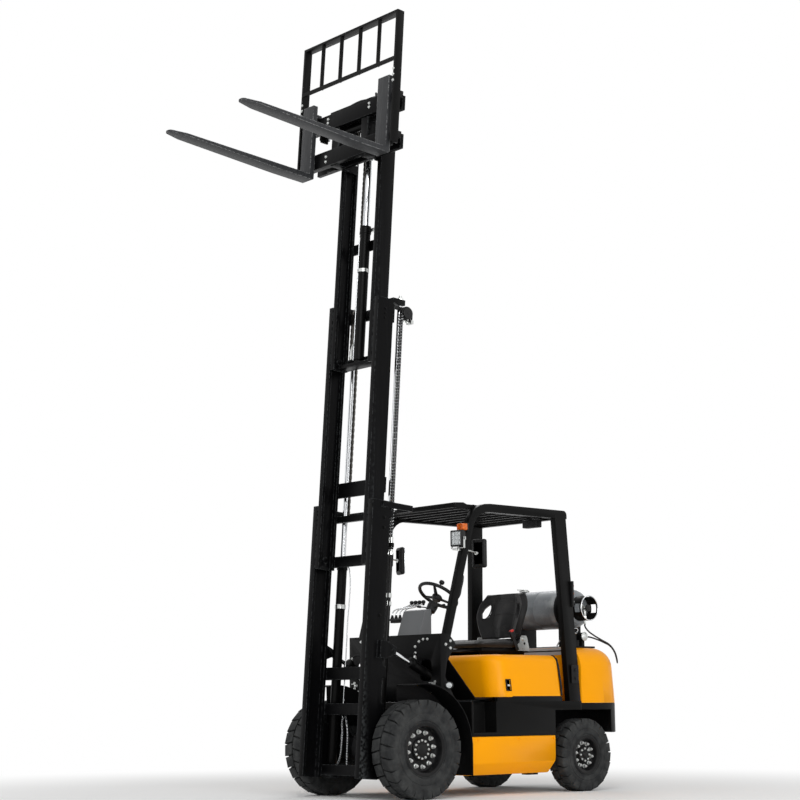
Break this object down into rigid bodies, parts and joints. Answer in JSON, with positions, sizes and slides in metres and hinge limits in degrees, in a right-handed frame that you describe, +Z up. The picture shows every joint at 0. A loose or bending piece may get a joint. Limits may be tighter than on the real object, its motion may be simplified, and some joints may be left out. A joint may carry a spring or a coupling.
{
  "type": "forklift truck",
  "caption": "Counterbalance fork truck on four wheels with a raised three-stage mast, side-shifting fork carriage, overhead guard, rear steering and a gas bottle on its counterweight.",
  "frame": {"origin": "on the ground, under the middle of the truck's bounding box", "axes": "+X forwards, to the fork tips; +Y to the driver's left; +Z up"},
  "size_m": [3.617, 1.15, 5.6537],
  "materials": {
    "body_yellow": "gloss",
    "weight_yellow": "gloss",
    "weight_black": "satin",
    "frame_black": "satin",
    "sheet_black": "satin",
    "mast_black": "satin",
    "tyre_rubber": "matte",
    "rim_black": "satin",
    "chromed_rod": "polished",
    "seat_vinyl": "satin",
    "console_grey": "satin",
    "black_plastic": "satin",
    "bottle_steel": "satin",
    "engine_grey": "matte",
    "hose_rubber": "satin"
  },
  "bodies": {
    "chassis": {"chassis_frame": "frame_black", "fuel_side_tank": "body_yellow", "hydraulic_side_tank": "body_yellow", "engine_block": "engine_grey", "drive_axle": "sheet_black", "steer_axle": "sheet_black", "front_cowl": "sheet_black", "floor_plate": "sheet_black", "front_fender_left": "sheet_black", "front_fender_right": "sheet_black", "instrument_console": "console_grey", "steering_column": "black_plastic", "hydraulic_levers": "black_plastic", "counterweight_upper": "weight_yellow", "counterweight_lower": "weight_black", "guard_side_left": "frame_black", "guard_side_right": "frame_black", "guard_roof": "frame_black", "gas_bottle": "bottle_steel", "bottle_cradle": "sheet_black", "gas_hose": "hose_rubber"},
    "outer_mast": {"mast_outer": "mast_black", "lift_cylinder_left": "mast_black", "lift_cylinder_right": "mast_black"},
    "middle_mast": {"mast_middle": "mast_black", "lift_rod_left": "chromed_rod", "lift_rod_right": "chromed_rod"},
    "inner_mast": {"mast_inner": "mast_black", "free_lift_cylinder": "mast_black"},
    "lift_head": {"free_lift_rod": "chromed_rod"},
    "fork_carriage": {"carriage": "mast_black"},
    "fork_frame": {"side_shifter": "mast_black", "load_backrest": "mast_black", "fork_left": "mast_black", "fork_right": "mast_black"},
    "hood": {"engine_hood": "body_yellow", "seat_frame": "frame_black", "seat_cushion": "seat_vinyl", "seat_back": "seat_vinyl"},
    "steering_wheel": {"steering_wheel": "black_plastic"},
    "front_wheel_left": {"tyre_front_left": "tyre_rubber", "rim_front_left": "rim_black"},
    "rear_wheel_left": {"tyre_rear_left": "tyre_rubber", "rim_rear_left": "rim_black"},
    "knuckle_left": {"steering_knuckle_left": "sheet_black"},
    "tilt_barrel_left": {"tilt_barrel_left": "sheet_black"},
    "tilt_rod_left": {"tilt_rod_left": "chromed_rod"},
    "front_wheel_right": {"tyre_front_right": "tyre_rubber", "rim_front_right": "rim_black"},
    "rear_wheel_right": {"tyre_rear_right": "tyre_rubber", "rim_rear_right": "rim_black"},
    "knuckle_right": {"steering_knuckle_right": "sheet_black"},
    "tilt_barrel_right": {"tilt_barrel_right": "sheet_black"},
    "tilt_rod_right": {"tilt_rod_right": "chromed_rod"}
  },
  "joints": [
    {"name": "mast_tilt", "type": "hinge", "parent": "chassis", "child": "outer_mast", "pos_m": [0.29154, 0, 0.338], "axis": [0, 1, 0], "range_deg": [-1.92, 10.08]},
    {"name": "middle_lift", "type": "slide", "parent": "outer_mast", "child": "middle_mast", "axis": [-0.0711, 0, 0.9975], "range_m": [-1.47, 0]},
    {"name": "inner_lift", "type": "slide", "parent": "middle_mast", "child": "inner_mast", "axis": [-0.0711, 0, 0.9975], "range_m": [-1.47, 0]},
    {"name": "free_lift", "type": "slide", "parent": "inner_mast", "child": "lift_head", "axis": [-0.0711, 0, 0.9975], "range_m": [-0.78, 0]},
    {"name": "carriage_lift", "type": "slide", "parent": "lift_head", "child": "fork_carriage", "axis": [-0.0711, 0, 0.9975], "range_m": [-0.78, 0]},
    {"name": "side_shift", "type": "slide", "parent": "fork_carriage", "child": "fork_frame", "axis": [0, 1, 0], "range_m": [-0.1, 0.1]},
    {"name": "tilt_barrel_left_pivot", "type": "hinge", "parent": "chassis", "child": "tilt_barrel_left", "pos_m": [-0.02643, 0.345, 0.81319], "axis": [0, 1, 0], "range_deg": [-1.6, 7.9]},
    {"name": "tilt_rod_left_slide", "type": "slide", "parent": "tilt_barrel_left", "child": "tilt_rod_left", "axis": [0.9063, 0, 0.4226], "range_m": [-0.02, 0.1]},
    {"name": "tilt_barrel_right_pivot", "type": "hinge", "parent": "chassis", "child": "tilt_barrel_right", "pos_m": [-0.02643, -0.345, 0.81319], "axis": [0, 1, 0], "range_deg": [-1.6, 7.9]},
    {"name": "tilt_rod_right_slide", "type": "slide", "parent": "tilt_barrel_right", "child": "tilt_rod_right", "axis": [0.9063, 0, 0.4226], "range_m": [-0.02, 0.1]},
    {"name": "front_wheel_left_spin", "type": "hinge", "parent": "chassis", "child": "front_wheel_left", "pos_m": [0.29154, 0.482, 0.338], "axis": [0, 1, 0], "continuous": true},
    {"name": "steer_left", "type": "hinge", "parent": "chassis", "child": "knuckle_left", "pos_m": [-1.32846, 0.395, 0.266], "axis": [0, 0, 1], "range_deg": [-75, 75]},
    {"name": "rear_wheel_left_spin", "type": "hinge", "parent": "knuckle_left", "child": "rear_wheel_left", "pos_m": [-1.32846, 0.496, 0.266], "axis": [0, 1, 0], "continuous": true},
    {"name": "front_wheel_right_spin", "type": "hinge", "parent": "chassis", "child": "front_wheel_right", "pos_m": [0.29154, -0.482, 0.338], "axis": [0, 1, 0], "continuous": true},
    {"name": "steer_right", "type": "hinge", "parent": "chassis", "child": "knuckle_right", "pos_m": [-1.32846, -0.395, 0.266], "axis": [0, 0, 1], "range_deg": [-75, 75]},
    {"name": "rear_wheel_right_spin", "type": "hinge", "parent": "knuckle_right", "child": "rear_wheel_right", "pos_m": [-1.32846, -0.496, 0.266], "axis": [0, 1, 0], "continuous": true},
    {"name": "steering_wheel_turn", "type": "hinge", "parent": "chassis", "child": "steering_wheel", "pos_m": [-0.34046, 0, 1.405], "axis": [-0.5648, 0, 0.8252], "continuous": true},
    {"name": "hood_lift", "type": "hinge", "parent": "chassis", "child": "hood", "pos_m": [-1.10046, 0, 0.998], "axis": [0, -1, 0], "range_deg": [0, 20]}
  ],
  "couplings": [
    {"joint": "inner_lift", "follows": "middle_lift", "ratio": 1},
    {"joint": "carriage_lift", "follows": "free_lift", "ratio": 1},
    {"joint": "steer_right", "follows": "steer_left", "ratio": 1},
    {"joint": "tilt_barrel_left_pivot", "follows": "mast_tilt", "ratio": 0.77},
    {"joint": "tilt_rod_left_slide", "follows": "mast_tilt", "m_per_rad": 0.5575},
    {"joint": "tilt_barrel_right_pivot", "follows": "mast_tilt", "ratio": 0.77},
    {"joint": "tilt_rod_right_slide", "follows": "mast_tilt", "m_per_rad": 0.5575}
  ]
}
